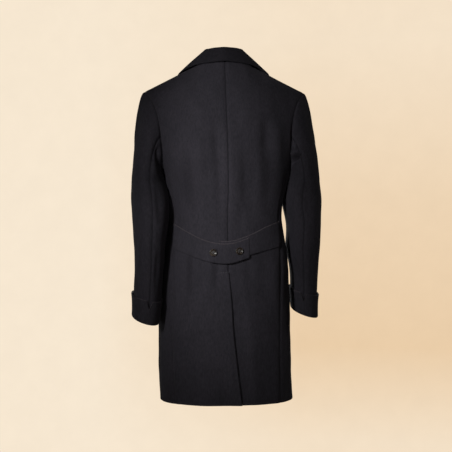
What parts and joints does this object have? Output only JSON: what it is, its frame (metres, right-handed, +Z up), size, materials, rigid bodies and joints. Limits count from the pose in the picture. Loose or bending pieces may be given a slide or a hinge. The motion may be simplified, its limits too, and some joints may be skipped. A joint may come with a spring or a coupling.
{
  "type": "double-breasted coat",
  "caption": "Knee-length double-breasted wool overcoat in its worn hollow shape, with a lapped half-belt behind, a centre vent, wide collar, peak lapels and turned-back cuffs.",
  "frame": {"origin": "between the wearer's shoulders, on the upright axis of the body, 20 mm below the neck corners", "axes": "+Z up, the front faces -Y, the wearer's left is +X"},
  "size_m": [0.5446, 0.2638, 0.9904],
  "materials": {
    "wool_cloth": "matt napped navy wool melton",
    "horn_button": "polished dark horn"
  },
  "bodies": {
    "root": {"back_left": "wool_cloth", "back_right": "wool_cloth", "side_left": "wool_cloth", "side_right": "wool_cloth", "front_left": "wool_cloth", "front_right": "wool_cloth", "lapel_left": "wool_cloth", "lapel_right": "wool_cloth", "collar": "wool_cloth", "sleeve_upper_left": "wool_cloth", "sleeve_upper_right": "wool_cloth", "sleeve_under_left": "wool_cloth", "sleeve_under_right": "wool_cloth", "cuff_left": "wool_cloth", "cuff_right": "wool_cloth", "half_belt_left": "wool_cloth", "half_belt_right": "wool_cloth", "belt_button_left": "horn_button", "belt_button_right": "horn_button", "front_button_top_left": "horn_button", "front_button_top_right": "horn_button", "front_button_middle_left": "horn_button", "front_button_middle_right": "horn_button", "front_button_low_left": "horn_button", "front_button_low_right": "horn_button"}
  },
  "joints": []
}
